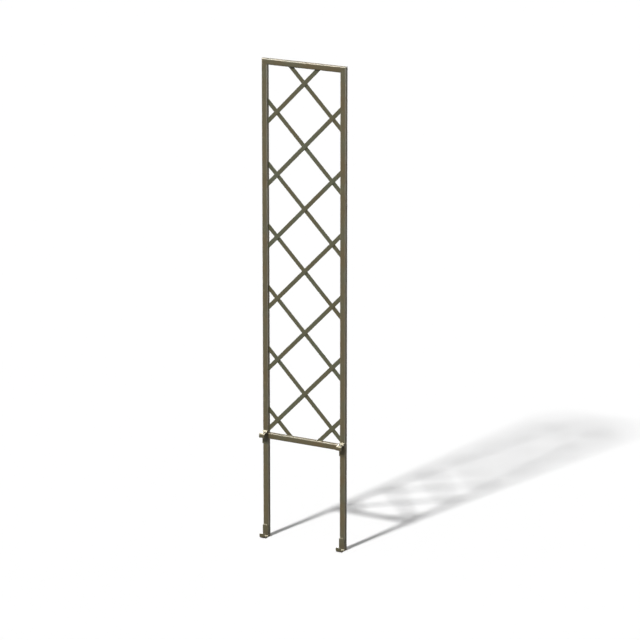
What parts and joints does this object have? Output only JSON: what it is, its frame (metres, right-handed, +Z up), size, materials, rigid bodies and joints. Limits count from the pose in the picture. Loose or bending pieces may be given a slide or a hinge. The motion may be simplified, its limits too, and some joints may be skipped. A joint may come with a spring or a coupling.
{
  "type": "garden trellis",
  "caption": "Tall narrow garden trellis of welded painted tube with a diagonal lattice of flat bars and bent hooks that hang it on the rim and the base of a raised planter.",
  "frame": {"origin": "on the floor, in the middle of the trellis' width and depth", "axes": "+X to the right along the panel, +Y from the panel's front to its back (the hooks reach towards -Y), +Z up"},
  "size_m": [0.387, 0.05, 2],
  "materials": {
    "frame_paint": "olive bronze metallic powder coat, satin",
    "lattice_paint": "olive bronze metallic powder coat, satin",
    "hook_paint": "olive bronze metallic powder coat, satin",
    "plug_plastic": "matt black moulded plastic"
  },
  "bodies": {
    "root": {"left_post": "frame_paint", "right_post": "frame_paint", "top_rail": "frame_paint", "lower_rail": "frame_paint", "rising_bar_1": "lattice_paint", "rising_bar_2": "lattice_paint", "rising_bar_3": "lattice_paint", "rising_bar_4": "lattice_paint", "rising_bar_5": "lattice_paint", "rising_bar_6": "lattice_paint", "rising_bar_7": "lattice_paint", "falling_bar_1": "lattice_paint", "falling_bar_2": "lattice_paint", "falling_bar_3": "lattice_paint", "falling_bar_4": "lattice_paint", "falling_bar_5": "lattice_paint", "falling_bar_6": "lattice_paint", "falling_bar_7": "lattice_paint", "left_rim_hook": "hook_paint", "right_rim_hook": "hook_paint", "left_foot_hook": "hook_paint", "right_foot_hook": "hook_paint", "left_foot_plug": "plug_plastic", "right_foot_plug": "plug_plastic"}
  },
  "joints": []
}
